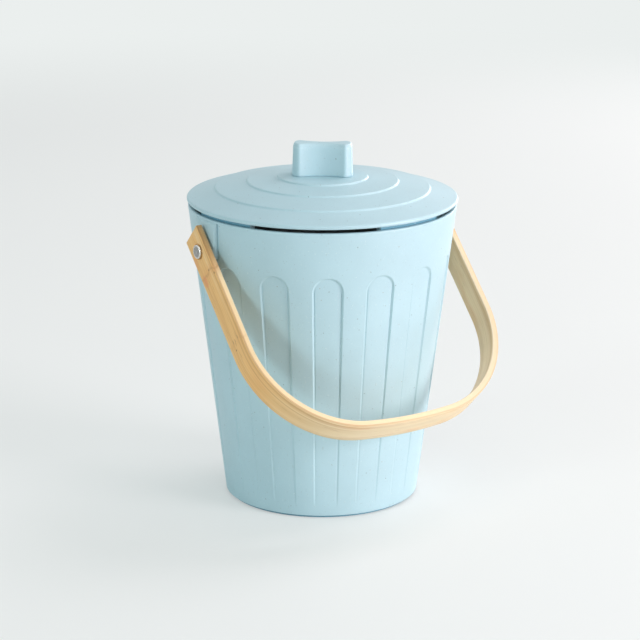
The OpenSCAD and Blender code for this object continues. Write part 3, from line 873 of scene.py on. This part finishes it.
# ---------------------------------------------------------------- screws and filter pad
def build_screw(side, name, node):
    """Flat round head with a rolled edge and a dimple, on its shank."""
    r, roll, face = HEAD_D / 2, HEAD_ROLL, HEAD_H - HEAD_RIM
    profile = [(0.0, -SHANK_L), (SHANK_R - 0.3, -SHANK_L), (SHANK_R, 0.4 - SHANK_L),
               (SHANK_R, 0.0), (r - 0.35, 0.0), (r - 0.08, 0.1), (r, 0.3)]
    profile += arc(r - roll, HEAD_H - roll, roll, 0, 120, 9)
    profile += [(r - roll - 0.75, face + 0.02), (r - roll - 1.1, face), (1.25, face),
                (1.0, face - 0.12), (0.6, face - 0.42), (0.0, face - 0.5)]
    verts, faces = lathe(profile, even_turn(72))
    m = Matrix(((0, 0, side, side * HEAD_X), (1, 0, 0, 0), (0, 1, 0, PIVOT_Z), (0, 0, 0, 1)))
    screw = make(name, turned(verts, m), faces, 40.0)
    dress(screw, STEEL, "steel", "bin", node)
    # The rolled edge is polished
    second_material(screw, STEEL_ROLL, lambda at, normal:
                    math.hypot(at.y, at.z - PIVOT_Z) > r - roll - 0.35)


def build_filter_pad():
    """Needled felt disc: a soft edge, a slightly uneven top."""
    rng = np.random.default_rng(7)
    low, top = PAD_LOW_ROUND, PAD_TOP_ROUND
    profile = [(0.0, 0.0)] + [(r, 0.0) for r in np.linspace(8, 80, 10)]
    profile += arc(PAD_DISC_R - low, low, low, -90, 0, 4)
    profile += arc(PAD_DISC_R - top, PAD_T - top, top, 0, 90, 5)
    profile += [(r, PAD_T) for r in np.linspace(80, 4, 20)] + [(0.0, PAD_T)]
    verts, faces = lathe([(r, z + TRAY_Z) for r, z in profile], even_turn(120))
    v = np.array(verts, float)
    phase = rng.uniform(0, 6.28, (6, 2))
    freq = rng.uniform(-0.16, 0.16, (6, 2))
    wave = sum(np.sin(v[:, 0] * f[0] + v[:, 1] * f[1] + p[0]) * np.cos(p[1])
               for f, p in zip(freq, phase))
    high = np.clip((v[:, 2] - TRAY_Z - PAD_T / 2) / (PAD_T / 2), 0, 1)
    v[:, 2] -= high * (FELT_SINK + FELT_WAVE * wave)
    pad = make("filter_felt", v, faces, 60.0)
    dress(pad, FELT, "charcoal", "filter_tray", "filter_pad")


build_bin()
build_lid()
build_knob()
build_handle()
build_screw(-1, "screw_left", "pivot_screw_left")
build_screw(1, "screw_right", "pivot_screw_right")
build_filter_pad()

# The small hardware and the tray keep their CAD shapes, with softened edges
for node, material, width in (("filter_tray", BLUE, 0.35), ("knob_washer", STEEL, 0.12),
                              ("knob_screw", STEEL, 0.2),
                              ("spacer_left", NYLON, 0.15), ("spacer_right", NYLON, 0.15),
                              ("inner_washer_left", STEEL, 0.12),
                              ("inner_washer_right", STEEL, 0.12),
                              ("cap_nut_left", STEEL, 0.15), ("cap_nut_right", STEEL, 0.15)):
    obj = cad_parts[node]
    obj.data.materials.clear()
    obj.data.materials.append(material)
    bevel = obj.modifiers.new("soft_edges", "BEVEL")
    bevel.width, bevel.segments = width * MM, 2
    bevel.limit_method, bevel.angle_limit = "ANGLE", math.radians(40)

# ---------------------------------------------------------------- stage, light and camera
# In metres. FLOOR_PLAIN is the share of the floor's tone that the camera sees unlit near the
# object. It grows to the whole tone between FAR_FROM and FAR_TO.
FLOOR_HALF, FLOOR_PLAIN, FAR_FROM, FAR_TO = 8.0, 0.45, 1.3, 2.2
FLOOR_TINT, FLOOR_FAR = srgb(237, 241, 240), srgb(235, 239, 238)
SHOWN, LIT, LIT_LEVEL = (0.87, 0.89, 0.89, 1), (0.95, 1.02, 1.02, 1), 0.36
WARM, COOL = (1.03, 0.91, 0.93), (0.90, 1.0, 1.0)
# Softboxes: name, azimuth (0 stands over -Y, 90 over +X), elevation, size, watts, colour
SOFTBOXES = (("key_front", 30.0, 13.0, 1.0, 47.0, WARM),
             ("key_high", 92.0, 55.0, 1.0, 18.0, WARM),
             ("side_right", 115.0, 12.0, 1.0, 17.0, WARM),
             ("side_left", -82.0, 12.0, 0.5, 12.0, COOL),
             ("top_front", -40.0, 70.0, 1.2, 7.0, COOL))
AIM, AWAY = Vector((0, 0, 0.12)), 2.4
# The camera as fitted to the photo: its lens and sensor in mm, its place and its axes
CAM_LENS, CAM_SENSOR, CAM_AT = 141.76, 36.0, (-0.98454, -1.54037, 0.64562)
CAM_RIGHT = Vector((0.843571, -0.537006, 0.003518))
CAM_UP = Vector((0.142431, 0.230049, 0.962700))
CAM_AHEAD = Vector((0.517785, 0.811604, -0.270549))


def seen_rays(tree, *kinds):
    """1 for the given kinds of ray, otherwise 0."""
    path = tree.nodes.new("ShaderNodeLightPath")
    last = path.outputs[kinds[0]]
    for kind in kinds[1:]:
        more = tree.nodes.new("ShaderNodeMath")
        more.operation = "MAXIMUM"
        tree.links.new(last, more.inputs[0])
        tree.links.new(path.outputs[kind], more.inputs[1])
        last = more.outputs[0]
    return last


def build_floor():
    """A pale floor that keeps the shadow but fades little with distance."""
    s = FLOOR_HALF
    mesh = bpy.data.meshes.new("floor")
    mesh.from_pydata([(-s, -s, 0), (s, -s, 0), (s, s, 0), (-s, s, 0)], [], [(0, 1, 2, 3)])
    floor = bpy.data.objects.new("floor", mesh)
    bpy.context.scene.collection.objects.link(floor)
    m = Mat("floor_pale")
    vec = m.coords()
    n = m.noise(vec, 3.0, 2.0)
    m.colour(m.mix((n, "Fac"), FLOOR_TINT, tuple(c * 0.985 for c in FLOOR_TINT)))
    m.set(Roughness=0.5, Specular_IOR_Level=0.25)
    # Far from the object the floor is one even tone, whatever the lamps do there
    length = m.node("ShaderNodeVectorMath", operation="LENGTH")
    m.feed((vec, "Vector"), length.inputs["Vector"])
    far = m.ranged((length, "Value"), FAR_FROM, FAR_TO)
    plain = m.node("ShaderNodeEmission")
    m.feed(m.mix(far, FLOOR_TINT, FLOOR_FAR), plain.inputs["Color"])
    level = m.math("ADD", m.math("MULTIPLY", far, 1.0 - FLOOR_PLAIN), FLOOR_PLAIN)
    share = m.node("ShaderNodeMath", operation="MULTIPLY")
    m.tree.links.new(seen_rays(m.tree, "Is Camera Ray"), share.inputs[0])
    m.feed(level, share.inputs[1])
    mix = m.node("ShaderNodeMixShader")
    m.feed((share, "Value"), mix.inputs["Fac"])
    m.feed((m.bsdf, "BSDF"), mix.inputs[1])
    m.feed((plain, "Emission"), mix.inputs[2])
    m.feed((mix, "Shader"), m.out.inputs["Surface"])
    mesh.materials.append(m.mat)


def build_world():
    """A plain tone where the camera, gloss and glass look past the floor, and soft light."""
    world = bpy.data.worlds.new("studio")
    bpy.context.scene.world = world
    world.use_nodes = True
    t = world.node_tree
    t.nodes.clear()
    out = t.nodes.new("ShaderNodeOutputWorld")
    shown = t.nodes.new("ShaderNodeBackground")
    shown.inputs["Color"].default_value = SHOWN
    lit = t.nodes.new("ShaderNodeBackground")
    lit.inputs["Color"].default_value = LIT
    lit.inputs["Strength"].default_value = LIT_LEVEL
    mix = t.nodes.new("ShaderNodeMixShader")
    shown_to = seen_rays(t, "Is Camera Ray", "Is Glossy Ray", "Is Transmission Ray")
    t.links.new(shown_to, mix.inputs[0])
    t.links.new(lit.outputs[0], mix.inputs[1])
    t.links.new(shown.outputs[0], mix.inputs[2])
    t.links.new(mix.outputs[0], out.inputs["Surface"])


def area_light(name, azimuth, elevation, size, watts, colour):
    """A square softbox aimed at the middle of the object."""
    a, e = math.radians(azimuth), math.radians(elevation)
    toward = Vector((math.sin(a) * math.cos(e), -math.cos(a) * math.cos(e), math.sin(e)))
    at = AIM + AWAY * toward
    data = bpy.data.lights.new(name, "AREA")
    data.shape, data.size, data.energy, data.color = "SQUARE", size, watts, colour
    obj = bpy.data.objects.new(name, data)
    obj.location = at
    obj.rotation_euler = (AIM - at).to_track_quat("-Z", "Y").to_euler()
    obj.visible_camera = False
    bpy.context.scene.collection.objects.link(obj)


def build_camera():
    data = bpy.data.cameras.new("camera")
    data.sensor_width, data.sensor_height, data.sensor_fit = CAM_SENSOR, CAM_SENSOR, "HORIZONTAL"
    data.lens = CAM_LENS
    data.clip_end = 50.0
    cam = bpy.data.objects.new("camera", data)
    m = Matrix((CAM_RIGHT, CAM_UP, -CAM_AHEAD)).transposed().to_4x4()
    m.translation = CAM_AT
    cam.matrix_world = m
    bpy.context.scene.collection.objects.link(cam)
    bpy.context.scene.camera = cam


build_floor()
build_world()
for softbox in SOFTBOXES:
    area_light(*softbox)
build_camera()
bpy.context.scene.view_settings.view_transform = "Standard"
